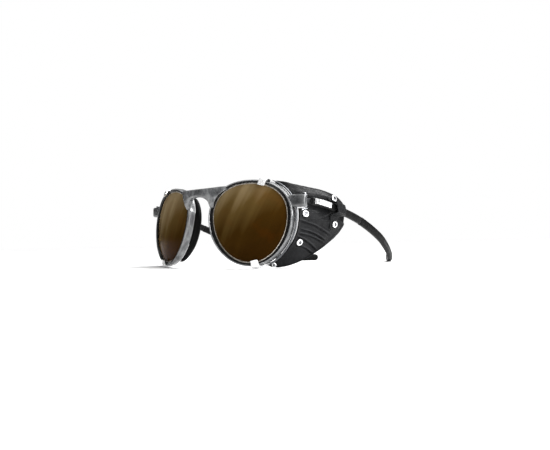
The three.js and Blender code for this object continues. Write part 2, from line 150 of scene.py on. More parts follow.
def face(u, v, depth):
    """From the left lens's own plane to the glasses: base curve, tilt, then wrap."""
    y = (u * u + v * v) / (2 * SPHERE) + depth
    y2 = y * math.cos(TILT) + v * math.sin(TILT)
    z2 = v * math.cos(TILT) - y * math.sin(TILT)
    x3 = u * math.cos(WRAP) - y2 * math.sin(WRAP)
    y3 = u * math.sin(WRAP) + y2 * math.cos(WRAP)
    return Vector((LENS_X + x3, y3, LENS_Z + LENS_H / 2 * math.cos(TILT) + z2))


def around(t, offset, depth):
    """A point beside the left lens, at angle t round it."""
    return face(*outline(t, offset), depth)


def rim_width(t):
    return RIM_TOP + (RIM_SIDE - RIM_TOP) * math.cos(t) ** 2


def catmull(points, share):
    """A centripetal Catmull-Rom curve, with the parameters that the CAD model's curve has."""
    pts = [Vector(p) for p in points]
    place = share * (len(pts) - 1)
    i = min(int(place), len(pts) - 2)
    f = place - i
    p1, p2 = pts[i], pts[i + 1]
    p0 = pts[i - 1] if i > 0 else p1 * 2 - p2
    p3 = pts[i + 2] if i + 2 < len(pts) else p2 * 2 - p1
    d0, d1, d2 = ((b - a).length ** 0.5 for a, b in ((p0, p1), (p1, p2), (p2, p3)))
    m1 = ((p1 - p0) / d0 - (p2 - p0) / (d0 + d1) + (p2 - p1) / d1) * d1
    m2 = ((p2 - p1) / d1 - (p3 - p1) / (d1 + d2) + (p3 - p2) / d2) * d1
    a = p1 * 2 - p2 * 2 + m1 + m2
    b = p2 * 3 - p1 * 3 - m1 * 2 - m2
    return a * f ** 3 + b * f ** 2 + m1 * f + p1


SHIELD_REAR = (
    (49, 13, 48.9), (56, 20.5, 47.2), (62, 30, 44.6), (66, 40, 42), (67.3, 47.6, 38.4),
    (67.6, 51.5, 32.7), (67, 51.2, 24.6), (65.8, 44.4, 17.6), (63.8, 33.6, 10.8), (60, 22.4, 4.6),
    (53, 13.4, 0.9), (46, 9.5, 1.3),
)


def shield_angle(k):
    return SHIELD_FROM + (SHIELD_TO - SHIELD_FROM) * k


def shield_front(t):
    """The shield's front edge: in front of the rim at the side, behind it above and below."""
    share, hidden = math.cos(t) ** 2, 1.4
    offset, depth = SHIELD_LIP
    return around(t, hidden + (offset - hidden) * share, BEHIND_RIM + (depth - BEHIND_RIM) * share ** 2)


def shield_surface(k, w):
    """The shield's outer surface: k runs from top to bottom, w from the rim to the rear edge."""
    t = shield_angle(k)
    fullness = 0.65 * math.cos(t) ** 2 + (0.35 if t > 0 else 0.05)
    lift = SHIELD_BULGE * math.sin(math.pi * w) * fullness
    point = shield_front(t).lerp(catmull(SHIELD_REAR, k), w)
    return point + Vector((math.cos(t) * lift, 0, math.sin(t) * lift))


def shield_normal(k, w):
    step = 0.01
    along = shield_surface(min(1, k + step), w) - shield_surface(max(0, k - step), w)
    back = shield_surface(k, min(1, w + step)) - shield_surface(k, max(0, w - step))
    return along.cross(back).normalized()


TEMPLE_PATH = (
    (70.2, 12, 37.4), (70.45, 24, 36.1), (70.85, 40, 32.6), (71.2, 60, 26.4), (68, 84, 16.9),
    (63.2, 98, 11), (56.4, 112, 5.8), (50.2, 122, 3.4), (43, 132, 2.4), (33.8, 144.5, 2.3),
    (29.2, 150.5, 2.3),
)


def temple_at(y):
    """The temple path's point, and the directions out of and up from it, at a given y."""
    low, high = 0.0, 1.0
    for _ in range(26):
        middle = (low + high) / 2
        if catmull(TEMPLE_PATH, middle).y < y:
            low = middle
        else:
            high = middle
    along = catmull(TEMPLE_PATH, min(1, low + 0.01)) - catmull(TEMPLE_PATH, max(0, low - 0.01))
    along.normalize()
    up = (Vector((0, 0, 1)) - along * along.z).normalized()
    return catmull(TEMPLE_PATH, low), along.cross(up), up


# Meshes ------------------------------------------------------------------------------------

def placed(name, data):
    """A new object in the scene."""
    obj = bpy.data.objects.new(name, data)
    bpy.context.scene.collection.objects.link(obj)
    return obj


def mesh_object(name, points, faces, slots=(), face_slots=None, angle=40):
    """An object from points in millimetres, with its materials and smooth shading."""
    mesh = bpy.data.meshes.new(name)
    mesh.from_pydata([world(p) for p in points], [], faces)
    for material in slots:
        mesh.materials.append(material)
    if face_slots:
        mesh.polygons.foreach_set("material_index", face_slots)
    obj = placed(name, mesh)
    tidy_normals(obj, angle)
    return obj


def tidy_normals(obj, angle=40):
    """Faces point out, and only edges sharper than the angle stay sharp."""
    bm = bmesh.new()
    bm.from_mesh(obj.data)
    bmesh.ops.recalc_face_normals(bm, faces=bm.faces)
    bm.to_mesh(obj.data)
    bm.free()
    obj.data.shade_smooth()
    obj.data.set_sharp_from_angle(angle=math.radians(angle))


def loft(name, rings, slots, looped=False, slot_of=None, angle=40):
    """A body through rings of points. slot_of gives the material's place for (ring, side)."""
    count = len(rings[0])
    points = [p for ring in rings for p in ring]
    faces, face_slots = [], []
    for i in range(len(rings) if looped else len(rings) - 1):
        a, b = i * count, ((i + 1) % len(rings)) * count
        for j in range(count):
            k = (j + 1) % count
            faces.append((a + j, a + k, b + k, b + j))
            face_slots.append(slot_of(i, j) if slot_of else 0)
    if not looped:
        last = (len(rings) - 1) * count
        faces.append(tuple(range(count)))
        faces.append(tuple(last + j for j in range(count)))
        face_slots += [0, 0]
    return mesh_object(name, points, faces, slots, face_slots, angle)


def mirrored(obj, name):
    """The right-hand twin of a left-hand piece."""
    twin = obj.copy()
    twin.data = obj.data.copy()
    twin.name = twin.data.name = name
    bpy.context.scene.collection.objects.link(twin)
    twin.data.transform(Matrix.Diagonal((-1, 1, 1, 1)))
    twin.data.flip_normals()
    return twin


def turned(name, profile, base, out, slots, segments=36, slot_of=None):
    """A lathed piece from (radius, height) pairs, standing at base along out."""
    turn = Vector((0, 0, 1)).rotation_difference(out)
    rings = []
    for radius, height in profile:
        ring = []
        for i in range(segments):
            a = 2 * math.pi * i / segments
            ring.append(base + turn @ Vector((radius * math.cos(a), radius * math.sin(a), height)))
        rings.append(ring)
    return loft(name, rings, slots, slot_of=slot_of, angle=30)


def pair(left, node, body):
    """Makes a left piece's right twin, hides both CAD nodes and attaches each piece to its body.

    A piece given no body is attached to none here.
    """
    pieces = [(left, "left"), (mirrored(left, left.name.replace("left", "right", 1)), "right")]
    for piece, side in pieces:
        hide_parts(f"{side}_{node}")
        if body:
            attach(piece, body.replace("left", side, 1))
    return pieces


# Materials ---------------------------------------------------------------------------------

class Paint:
    """A procedural material: a shader and the few nodes that these materials share."""

    def __init__(self, name, **sockets):
        self.material = bpy.data.materials.new(name)
        self.material.use_nodes = True
        self.tree = self.material.node_tree
        self.shader = self.tree.nodes["Principled BSDF"]
        self.place = self.node("ShaderNodeTexCoord").outputs["Object"]
        for socket, value in sockets.items():
            self.shader.inputs[socket.replace("_", " ")].default_value = value

    def node(self, kind, **values):
        made = self.tree.nodes.new(kind)
        for key, value in values.items():
            if key in made.inputs:
                made.inputs[key].default_value = value
            else:
                setattr(made, key, value)
        return made

    def link(self, output, target):
        self.tree.links.new(output, target)
        return target.node

    def noise(self, size_mm, detail=3, rough=0.55, stretch=(1, 1, 1), warp=0.0):
        """Noise whose features are about size_mm across."""
        scale = self.node("ShaderNodeMapping")
        scale.inputs["Scale"].default_value = [s / (size_mm * MM) for s in stretch]
        self.link(self.place, scale.inputs["Vector"])
        made = self.node(
            "ShaderNodeTexNoise", Scale=1.0, Detail=detail, Roughness=rough, Distortion=warp
        )
        self.link(scale.outputs["Vector"], made.inputs["Vector"])
        return made.outputs["Fac"]

    def cells(self, size_mm):
        """Distances to the seams of a pattern of cells about size_mm across."""
        scale = self.node("ShaderNodeMapping")
        scale.inputs["Scale"].default_value = [1 / (size_mm * MM)] * 3
        self.link(self.place, scale.inputs["Vector"])
        made = self.node("ShaderNodeTexVoronoi", Scale=1.0, feature="DISTANCE_TO_EDGE")
        self.link(scale.outputs["Vector"], made.inputs["Vector"])
        return made.outputs["Distance"]

    def ramp(self, value, *stops):
        """Colours or greys at places from 0 to 1."""
        made = self.node("ShaderNodeValToRGB")
        elements = made.color_ramp.elements
        while len(elements) < len(stops):
            elements.new(0.5)
        for element, (position, colour) in zip(elements, stops):
            element.position = position
            element.color = (*(colour if hasattr(colour, "__len__") else (colour,) * 3), 1)
        self.link(value, made.inputs["Fac"])
        return made.outputs["Color"]

    def span(self, value, low, high, start=0.0, end=1.0):
        """The stretch from low to high, mapped to start to end."""
        made = self.node("ShaderNodeMapRange")
        for key, number in zip(("From Min", "From Max", "To Min", "To Max"), (low, high, start, end)):
            made.inputs[key].default_value = number
        self.link(value, made.inputs["Value"])
        return made.outputs["Result"]

    def maths(self, operation, first, second):
        made = self.node("ShaderNodeMath", operation=operation)
        for socket, value in zip(made.inputs, (first, second)):
            if isinstance(value, (int, float)):
                socket.default_value = value
            else:
                self.link(value, socket)
        return made.outputs["Value"]

    def blend(self, share, first, second):
        made = self.node("ShaderNodeMix", data_type="RGBA")
        inputs = made.inputs[0], made.inputs[6], made.inputs[7]
        for socket, value in zip(inputs, (share, first, second)):
            if isinstance(value, bpy.types.NodeSocket):
                self.link(value, socket)
            elif hasattr(value, "__len__"):
                socket.default_value = (*value, 1)
            else:
                socket.default_value = value
        return made.outputs[2]

    def axis(self, name):
        """The place along one axis, in millimetres from the part's origin."""
        split = self.node("ShaderNodeSeparateXYZ")
        self.link(self.place, split.inputs["Vector"])
        return self.maths("DIVIDE", split.outputs[name], MM)

    def colour(self, output):
        self.link(output, self.shader.inputs["Base Color"])
        return self

    def roughness(self, output):
        self.link(output, self.shader.inputs["Roughness"])
        return self

    def bump(self, output, strength, height_mm):
        made = self.node("ShaderNodeBump", Strength=strength, Distance=height_mm * MM)
        self.link(output, made.inputs["Height"])
        if self.shader.inputs["Normal"].is_linked:
            self.link(self.shader.inputs["Normal"].links[0].from_socket, made.inputs["Normal"])
        self.link(made.outputs["Normal"], self.shader.inputs["Normal"])
        return self

    def edge_wear_and_highlight(self):
        """1 on convex edges, 0 on flats: where edges are painted paler, partly as wear and partly as a
        painted highlight.
        """
        return self.span(self.node("ShaderNodeNewGeometry").outputs["Pointiness"], 0.51, 0.6)


def charcoal_plastic():
    """Marbled grey plastic, with painted shade that darkens it towards the temples."""
    p = Paint("charcoal_plastic", IOR=1.5, Coat_Weight=0.5, Coat_Roughness=0.06)
    marble = p.noise(5, detail=5, rough=0.62, stretch=(1, 1, 0.6), warp=1.2)
    base = p.ramp(
        marble, (0.3, (0.02, 0.0205, 0.0215)), (0.52, (0.1, 0.103, 0.107)), (0.75, (0.28, 0.285, 0.29))
    )
    # Convex edges painted paler: partly wear, partly a painted highlight.
    worn_and_highlit = p.blend(p.edge_wear_and_highlight(), base, (0.36, 0.365, 0.37))
    # Painted shade: the colour darkens towards the temples.
    temporal_shade = p.span(p.maths("ABSOLUTE", p.axis("X"), 0), 46, 66, 0, 0.6)
    p.colour(p.blend(temporal_shade, worn_and_highlit, (0.016, 0.0165, 0.017)))
    p.roughness(p.span(p.noise(1.2), 0.3, 0.7, 0.16, 0.3))
    return p.bump(p.noise(0.9), 0.08, 0.03).material


def black_bevel():
    p = Paint("black_bevel", Specular_IOR_Level=0.35)
    p.colour(p.ramp(p.noise(2), (0.3, 0.002), (0.7, 0.006)))
    p.roughness(p.span(p.noise(0.8), 0.3, 0.7, 0.22, 0.36))
    return p.bump(p.noise(0.6), 0.06, 0.03).material


def leather(name, low, high, grain_mm=0.62):
    """Grained leather: cells with darker seams between them, paler on raised edges, partly wear and partly a
    painted highlight.
    """
    p = Paint(name, Specular_IOR_Level=0.11)
    grain = p.ramp(p.cells(grain_mm), (0.02, 0.0), (0.2, 1.0))
    cloudy = p.noise(9, detail=4)
    tone = p.ramp(cloudy, (0.3, low), (0.7, high))
    # Raised edges painted paler: partly wear, partly a painted highlight.
    rubbed_and_highlit = p.blend(p.edge_wear_and_highlight(), tone, tuple(2.4 * c + 0.02 for c in high))
    p.colour(p.blend(p.span(grain, 0, 1, 0.55, 0.0), rubbed_and_highlit, tuple(0.3 * c for c in low)))
    p.roughness(p.maths("ADD", p.span(cloudy, 0.3, 0.7, 0.3, 0.44), p.span(grain, 0, 1, 0.14, 0)))
    p.bump(p.noise(2.4, detail=4), 0.25, 0.12)
    return p.bump(grain, 0.45, 0.09).material


def black_plastic():
    p = Paint("black_plastic", Specular_IOR_Level=0.06)
    black = p.ramp(p.noise(6), (0.3, 0.004), (0.7, 0.008))
    # Convex edges painted paler: partly wear, partly a painted highlight.
    p.colour(p.blend(p.edge_wear_and_highlight(), black, (0.03, 0.03, 0.031)))
    p.roughness(p.span(p.noise(1.6), 0.3, 0.7, 0.34, 0.5))
    return p.bump(p.noise(0.35), 0.15, 0.03).material


def rubber():
    p = Paint("rubber", Specular_IOR_Level=0.05)
    black = p.ramp(p.noise(4), (0.3, 0.002), (0.7, 0.004))
    # Convex edges painted paler: partly wear, partly a painted highlight.
    p.colour(p.blend(p.edge_wear_and_highlight(), black, (0.01, 0.01, 0.0105)))
    p.roughness(p.span(p.noise(1.5), 0.3, 0.7, 0.36, 0.54))
    return p.bump(p.noise(0.3, detail=4), 0.3, 0.04).material


def metal(name, dark, light, rough, stretch=(1, 1, 1), metallic=1.0):
    """Brushed or cast metal, mottled between a dark and a light tone."""
    grain_mm = 0.5
    p = Paint(name, Metallic=metallic)
    tone = p.ramp(p.noise(3, stretch=stretch), (0.3, dark), (0.7, light))
    # Convex edges painted paler: partly wear, partly a painted highlight.
    p.colour(p.blend(p.edge_wear_and_highlight(), tone, tuple(min(1, 1.15 * c) for c in light)))
    p.roughness(p.span(p.noise(grain_mm, stretch=stretch), 0.3, 0.7, rough * 0.75, rough * 1.35))
    return p.bump(p.noise(grain_mm, stretch=stretch), 0.08, 0.02).material


def lens_glass(flip):
    """Brown mirrored glass, with a painted reflection: lighter at the top and towards -X, with soft slanted
    bands.

    The right lens (flip) is painted paler, a painted reflection of more of the room.
    """
    name = "right_lens_glass" if flip else "left_lens_glass"
    p = Paint(name, Metallic=0.1, Specular_IOR_Level=0.02, IOR=1.35)
    p.shader.inputs["Specular Tint"].default_value = (0.5, 0.3, 0.11, 1)
    x, z = p.axis("X"), p.axis("Z")
    centre = -LENS_X if flip else LENS_X
    across = p.span(x, centre - 25, centre + 25)
    height = p.span(z, 2, 51)
    # Painted reflection: soft slanted bands across the glass.
    slant = p.maths("ADD", across, p.maths("MULTIPLY", height, -0.42))
    bands = p.node("ShaderNodeTexNoise", noise_dimensions="1D", Scale=5.2, Detail=2.5, Roughness=0.5)
    p.link(slant, bands.inputs["W"])
    # Painted reflection: lighter at the top and towards -X, and paler on the right lens.
    tone = p.maths("SUBTRACT", height, p.maths("MULTIPLY", across, 0.42))
    paler = 0.3 if flip else 0.04
    lit = p.maths("ADD", tone, p.span(bands.outputs["Fac"], 0.3, 0.7, paler - 0.1, paler + 0.13))
    brown = p.ramp(
        lit, (0.0, (0.024, 0.01, 0.0015)), (0.3, (0.037, 0.017, 0.0025)), (0.6, (0.092, 0.056, 0.016)),
        (0.98, (0.28, 0.207, 0.11)),
    )
    red = p.span(p.noise(16, detail=2), 0.5, 0.75, 0, 0.45)
    p.colour(p.blend(red, brown, p.blend(0.5, brown, (0.09, 0.02, 0.0))))
    p.roughness(p.span(p.noise(20, detail=2), 0.3, 0.7, 0.1, 0.17))
    return p.bump(p.noise(30, detail=1), 0.02, 0.05).material


def ground_edge_and_highlight():
    """The glass's ground edge, pale partly as ground glass is and partly as a painted highlight along it."""
    p = Paint("ground_edge_and_highlight", Metallic=0.3, IOR=1.5)
    p.colour(p.ramp(p.noise(4), (0.3, (0.5, 0.45, 0.38)), (0.7, (0.75, 0.7, 0.63))))
    return p.roughness(p.span(p.noise(1), 0.3, 0.7, 0.2, 0.35)).material


CHARCOAL, BEVEL, RUBBER, BLACK = charcoal_plastic(), black_bevel(), rubber(), black_plastic()
LEATHER_SKIN = leather("shield_skin", (0.0035, 0.0036, 0.004), (0.013, 0.0134, 0.0145))
STRAP_SKIN = leather("strap_skin", (0.0035, 0.0036, 0.004), (0.011, 0.0113, 0.0122), 0.5)
LEATHER_EDGE = leather("cut_edge", (0.004, 0.004, 0.0045), (0.01, 0.01, 0.0105), 0.3)
BRIGHT = metal("bright_metal", (0.8, 0.81, 0.82), (0.93, 0.93, 0.94), 0.2, metallic=0.6)
GUNMETAL = metal("gunmetal", (0.2, 0.205, 0.215), (0.42, 0.43, 0.45), 0.26, (1, 1, 3))
WIRE_STEEL = metal("wire_steel", (0.05, 0.052, 0.056), (0.16, 0.165, 0.175), 0.32)
HINGE_STEEL = metal("hinge_steel", (0.1, 0.103, 0.108), (0.24, 0.245, 0.255), 0.34)
HOLLOW = metal("rivet_hollow", (0.1, 0.1, 0.11), (0.25, 0.25, 0.26), 0.4)
PALE = ground_edge_and_highlight()


# Face: front, lenses, pads -----------------------------------------------------------------

def rim():
    """One rim, from (offset, depth) pairs: a black bevel inside a step of charcoal plastic."""
    groove = [(0, 2.6), (0.95, 2.4), (0.95, 0.1), (0, 0.05)]
    bevel = [(0.02, -0.2), (0.12, -0.42), (0.35, -0.56), (1.75, -0.8), (1.9, -0.86)]
    outer = [
        (1.96, -1.08), (2.08, -1.23), (2.3, -1.3), (2.65, -1.22), (2.97, -0.95), (3.14, -0.55), (3.2, 0),
        (3.2, 2), (3.12, 2.6), (2.85, 3), (2.4, 3.18), (0.8, 3.2), (0.3, 3.1), (0.05, 2.8),
    ]
    rings = []
    for t in spread(0, 2 * math.pi, 168)[:-1]:
        share = rim_width(t) / RIM_SIDE
        ring = [around(t, d, depth) for d, depth in groove]
        rings.append(ring + [around(t, d * share, depth) for d, depth in bevel + outer])
    black = len(groove + bevel) - 1
    return loft("left_rim", rings, [CHARCOAL, BEVEL], True, lambda i, j: 1 if j < black else 0)


def bridge():
    """The keyhole bridge: an arch that widens, thins and sinks into both rims at its ends."""
    half, arch_half, arch_z, top_z, thick = 24, 9.5, 42.6, 47.6, 3.6
    rings = []
    for x in spread(-half, half, 128):
        share = abs(x) / half
        top = top_z + 1.2 * share ** 2
        arch = min(1, abs(x) / arch_half)
        bottom = arch_z - 7 * (1 - math.sqrt(1 - arch ** 3)) - 6 * max(0, share - 0.4)
        sunk = smooth(0.62, 1, share)
        centre = Vector((x, -4.6 + 6.6 * share ** 1.5 + 1.1 * sunk, (top + bottom) / 2 - 0.3 * sunk))
        deep, tall = thick / 2 * (1 - 0.45 * sunk), (top - bottom) / 2
        ring = soft_ring(centre, BACKWARD, UP, deep, tall, 0.5, 40)
        for point in ring:
            low = max(0, (centre.z - point.z) / tall)
            from_back = (centre.y + deep - point.y) / (2 * deep)
            point.y += 1.5 * from_back * low ** 2 * smooth(0.22, 0.42, share)
        rings.append(ring)
    return loft("bridge", rings, [CHARCOAL])


def lug():
    """The lug that carries the hinge, from (x, front, depth, half height) rows."""
    stations = (
        (59.6, 11.2, 2.4, 3.3), (61, 11.35, 3, 3.4), (63, 11.8, 4, 3.4), (65, 11.9, 3.9, 3.4),
        (67, 12, 3.6, 3.35), (68.2, 12.35, 3.2, 3.2), (69, 12.8, 2.6, 3), (69.4, 13.3, 1.9, 2.7),
        (69.6, 13.8, 1.1, 2.3),
    )
    rings = []
    for x, y, deep, half in stations:
        rings.append(soft_ring(Vector((x, y + deep / 2, HINGE.z)), BACKWARD, UP, deep / 2, half, 0.35))
    return loft("left_lug", rings, [CHARCOAL])


def boolean(target, tool, operation):
    """Joins or cuts the target with a tool, which is used up."""
    made = target.modifiers.new("cut", "BOOLEAN")
    made.operation, made.object, made.solver = operation, tool, "EXACT"
    made.material_mode = "TRANSFER"
    bpy.context.view_layer.update()
    graph = bpy.context.evaluated_depsgraph_get()
    mesh = bpy.data.meshes.new_from_object(target.evaluated_get(graph))
    target.modifiers.clear()
    target.data = mesh
    bpy.data.objects.remove(tool)


def lens_hole(offset, front, back):
    """A cutter with the lens's outline and curve, between two depths."""
    turns = spread(0, 2 * math.pi, 120)[:-1]
    return loft("hole", [[around(t, offset, depth) for t in turns] for depth in (front, back)], [BEVEL])


def front_frame():
    """Bridge, rims and lugs as one moulding, opened for the lenses and grooved round them."""
    whole = bridge()
    half = rim()
    boolean(half, lug(), "UNION")
    other = mirrored(half, "right_half")
    boolean(whole, half, "UNION")
    boolean(whole, other, "UNION")
    for offset, front, back in ((0.02, -6, 9), (0.9, 0.15, 2.35)):
        hole = lens_hole(offset, front, back)
        far_hole = mirrored(hole, "far_hole")
        boolean(whole, hole, "DIFFERENCE")
        boolean(whole, far_hole, "DIFFERENCE")
    whole.name = whole.data.name = "front_frame_shell"
    tidy_normals(whole, 34)
    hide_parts("front_frame")
    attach(whole, "front")


def lenses():
    """The glass shows its pale bevelled edge, partly a painted highlight, as a thin line in front of the
    black bevel.
    """
    turns = spread(0, 2 * math.pi, 144)[:-1]
    domed = (0.12, 0.3, 0.5, 0.7, 0.87)
    edge = ((-0.6, 0.35), (0, 0.42), (0.7, 0.8), (0.7, 2), (0.1, 2.15))
    front, back = 0.35, 2.1

    def dome(share, depth):
        return [face(u * share, v * share, depth) for u, v in (outline(t) for t in turns)]
    rings = [dome(share, front) for share in domed]
    rings += [[around(t, offset, depth) for t in turns] for offset, depth in edge]
    rings += [dome(share, back) for share in reversed(domed)]
    pale = range(len(domed), len(domed) + len(edge) - 1)
    for side, flip in (("left", False), ("right", True)):
        glass = loft(f"{side}_glass", rings, [lens_glass(flip), PALE], slot_of=lambda i, j: int(i in pale))
        if flip:
            glass.data.transform(Matrix.Diagonal((-1, 1, 1, 1)))
            glass.data.flip_normals()
        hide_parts(f"{side}_lens")
        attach(glass, "front")


def rim_tube(name, turns, sides, slots, section):
    """A tube beside the rim. The section gives (offset, depth, wide, deep) for (t, share)."""
    rings = []
    for i, t in enumerate(turns):
        offset, depth, wide, deep = section(t, i / (len(turns) - 1))
        ring = []
        for a in spread(0, 2 * math.pi, sides)[:-1]:
            out = rim_width(t) + offset + wide * math.cos(a)
            ring.append(around(t, out, depth + deep * math.sin(a)))
        rings.append(ring)
    return loft(name, rings, slots)


def nose_pad():
    """A soft crescent that hugs the nasal side of the rim from behind."""
    def section(t, share):
        swell = 0.3 + 0.7 * math.sin(math.pi * (0.06 + 0.88 * share))
        swell *= max(0.1, 1 - abs(2 * share - 1) ** 24)
        return -0.5, 3.65 + 2.15 * swell, 1.6 * swell, 2.15 * swell
    turns = spread(math.radians(134), math.radians(244), 64)
    pad = rim_tube("left_pad", turns, 28, [RUBBER], section)
    pair(pad, "nose_pad", "front")


def wire():
    """It is round in the middle and drawn thin at both ends."""
    def section(t, share):
        radius = 0.5 * min(1, 0.25 + 12 * min(share, 1 - share))
        return 1.4, 0.4, radius, radius
    turns = spread(math.radians(62), math.radians(-66), 90)
    piece = rim_tube("left_wire", turns, 16, [WIRE_STEEL], section)
    pair(piece, "shield_wire", "front")


def strip_section(path, thickness):
    """A bent strip's section: the path is its inner line, its corners rounded."""
    reach = 0.4

    def rounded(points):
        made = [points[0]]
        for before, corner, after in zip(points, points[1:], points[2:]):
            for share in spread(0, 1, 5):
                first = corner + (before - corner).normalized() * reach
                last = corner + (after - corner).normalized() * reach
                made.append(first.lerp(corner, share).lerp(corner.lerp(last, share), share))
        return made + [points[-1]]
    inner = rounded([Vector((*p, 0)) for p in path])
    outer = []
    for i, point in enumerate(inner):
        along = inner[min(i + 1, len(inner) - 1)] - inner[max(i - 1, 0)]
        outer.append(point + Vector((along.y, -along.x, 0)).normalized() * thickness)
    return [(p.x, p.y) for p in inner] + [(p.x, p.y) for p in reversed(outer)]


def clip(name, degrees, width, thickness, path):
    """A bright strip bent round the rim, from its front to the back, with softened sides."""
    middle, half = math.radians(degrees), width / LENS_W
    section = strip_section(path, thickness)
    cx = sum(p[0] for p in section) / len(section)
    cy = sum(p[1] for p in section) / len(section)
    softened = ((-1, 0.03), (-0.96, 0.012), (-0.88, 0), (0.88, 0), (0.96, 0.012), (1, 0.03))
    rings = []
    for share, shrink in softened:
        t = middle + half * share
        ring = []
        for d, depth in section:
            ring.append(around(t, d + (cx - d) * shrink, depth + (cy - depth) * shrink))
        rings.append(ring)
    return loft(name, rings, [BRIGHT])


def clips():
    front, back = RIM_FRONT - GAP, RIM_BACK + GAP
    for name, node, degrees, width, thickness in (
        ("left_top_hook", "top_clip", 71, 3.6, 0.7), ("left_bottom_hook", "bottom_clip", -80, 5, 0.8),
    ):
        reach = rim_width(math.radians(degrees)) + GAP
        path = [(-1, front), (reach, front), (reach, back), (0.8, back)]
        piece = clip(name, degrees, width, thickness, path)
        if node == "bottom_clip":
            boolean(piece, clip_tail(reach), "UNION")
            tidy_normals(piece)
        pair(piece, node, "front")


def clip_tail(reach):
    """The bright tongue that runs back from the bottom hook along the rim."""
    rings = []
    for share in spread(0, 1, 20):
        t = math.radians(-78 + 15 * share)
        centre = around(t, reach + 0.45 - 0.1 * share, 1.2 + 1.8 * share)
        out = (around(t, 3, 1) - around(t, 2, 1)).normalized()
        across = (around(t, 2, 2) - around(t, 2, 1)).normalized()
        taper = 1 - 0.55 * smooth(0.5, 1, share)
        rings.append(soft_ring(centre, across, out, 1.5 * taper, 0.4 * taper, 0.5, 16))
    return loft("tail", rings, [BRIGHT])


# Side shields ------------------------------------------------------------------------------

# Each rib's two ends, as places across the shield (see shield_relief) and heights.
RIBS = (
    ((11.4, 25.9), (36.3, 17.7)), ((11.1, 21.2), (31.7, 14.9)), ((9.7, 18.9), (30.3, 13.4)),
    ((9, 17.1), (24.3, 9.2)), ((7.6, 12.4), (21.1, 7.4)),
)


def slab(name, outer, inner, slots, edge_slot):
    """A closed sheet between two grids of points of the same size."""
    rows, columns = len(outer), len(outer[0])
    points = [p for row in outer for p in row] + [p for row in inner for p in row]
    second = rows * columns
    faces, face_slots = [], []
    for i in range(rows - 1):
        for j in range(columns - 1):
            a = i * columns + j
            quad = (a, a + 1, a + columns + 1, a + columns)
            faces += [quad, tuple(second + v for v in reversed(quad))]
            face_slots += [0, 0]
    border = list(range(columns))
    border += [i * columns + columns - 1 for i in range(1, rows)]
    border += [(rows - 1) * columns + j for j in range(columns - 2, -1, -1)]
    border += [i * columns for i in range(rows - 2, 0, -1)]
    for a, b in zip(border, border[1:] + border[:1]):
        faces.append((a, second + a, second + b, b))
        face_slots.append(edge_slot)
    return mesh_object(name, points, faces, slots, face_slots)


def fine_ends(count, reach=0.02):
    """Shares from 0 to 1, closer together at both ends."""
    near = [0, reach * 0.2, reach * 0.5]
    return near + spread(reach, 1 - reach, count) + [1 - v for v in reversed(near)]


def roll(distance, radius):
    """How far a rounded edge of that radius has dropped at a distance from the border."""
    if distance >= radius:
        return 0.0
    return radius - math.sqrt(radius ** 2 - (radius - max(0.0, distance)) ** 2)


def ridge(distance, width):
    """1 on a line and falling off softly on both sides of it."""
    return math.exp(-(distance / width) ** 2)


def shield_relief(point, w):
    """The leather's height over its plain surface: channel, folds, ribs and rolled edge."""
    over = point.z - temple_at(max(13.0, point.y))[0].z
    channel = (smooth(-5.4, -3.6, over) - smooth(2.6, 4.2, over)) * smooth(0.02, 0.12, w)
    fold_above = ridge(over - 5.6, 1.3) * smooth(0.05, 0.3, w) * smooth(1, 0.8, w)
    fold_below = ridge(over + 8, 2.6) * smooth(0.1, 0.35, w) * smooth(1, 0.75, w)
    height = 0.55 * fold_above + 0.9 * fold_below - 0.9 * channel
    across = point.y - (68.5 - point.x) * 0.946
    for (y0, z0), (y1, z1) in RIBS:
        dy, dz = y1 - y0, z1 - z0
        share = ((across - y0) * dy + (point.z - z0) * dz) / (dy ** 2 + dz ** 2)
        sag = 0.9 * math.sin(math.pi * min(1, max(0, share)))
        distance = point.z - (z0 + dz * share + sag)
        fade = smooth(-0.08, 0.12, share) * smooth(1.12, 0.85, share)
        height += 0.62 * fade * (ridge(distance - 1, 0.66) - ridge(distance, 0.5))
    rolled_edge, groove = smooth(0.93, 0.97, w), ridge(w - 0.915, 0.012)
    height += 0.35 * rolled_edge - 0.3 * groove
    return height + 0.3 * noise.fractal(point * 0.11, 0.8, 2.0, 3)


def side_shield():
    """The moulded leather, notched for the lug and hinge."""
    ks, ws = fine_ends(186, 0.006), fine_ends(88, 0.014)
    # The leather's rough size along w and k, and how far its top front corner is drawn down.
    depth, length, top_corner = 34, 90, 1.6
    outer, inner = [], []
    for k in ks:
        outer_row, inner_row = [], []
        for w in ws:
            point = shield_surface(k, w)
            normal = shield_normal(min(0.98, max(0.02, k)), max(0.04, w))
            point.z -= top_corner * (1 - smooth(0, 0.07, k)) * (1 - smooth(0, 0.3, w))
            drop = roll(min(min(w, 1 - w) * depth, min(k, 1 - k) * length), 0.75)
            relief = shield_relief(point, w)
            outer_row.append(point + normal * (relief - drop))
            inner_row.append(point - normal * (LEATHER - min(drop, 0.7) - 0.35 * relief))
        outer.append(outer_row)
        inner.append(inner_row)
    left = slab("left_leather", outer, inner, [LEATHER_SKIN, LEATHER_EDGE], 1)
    notch = soft_box("notch", (52, 4, 33.3), (80, 22, 41.1), 1.2, [LEATHER_EDGE])
    boolean(left, notch, "DIFFERENCE")
    tidy_normals(left)
    for piece, side in pair(left, "side_shield", None):
        flip = -1 if side == "right" else 1
        start, end = (world(p) for p in SHIELD_BEND)
        start.x, end.x = start.x * flip, end.x * flip
        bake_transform(piece)


def on_leather(pieces, centre):
    """Bakes each piece's transform into its mesh.
    """
    start, end = SHIELD_BEND
    along = end - start
    share = (centre - start).dot(along) / along.length_squared
    long_way = along * 100
    for piece, side in pieces:
        flip = -1 if side == "right" else 1
        low, high = world(centre - long_way * share), world(centre + long_way * (1 - share))
        low.x, high.x = low.x * flip, high.x * flip
        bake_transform(piece)


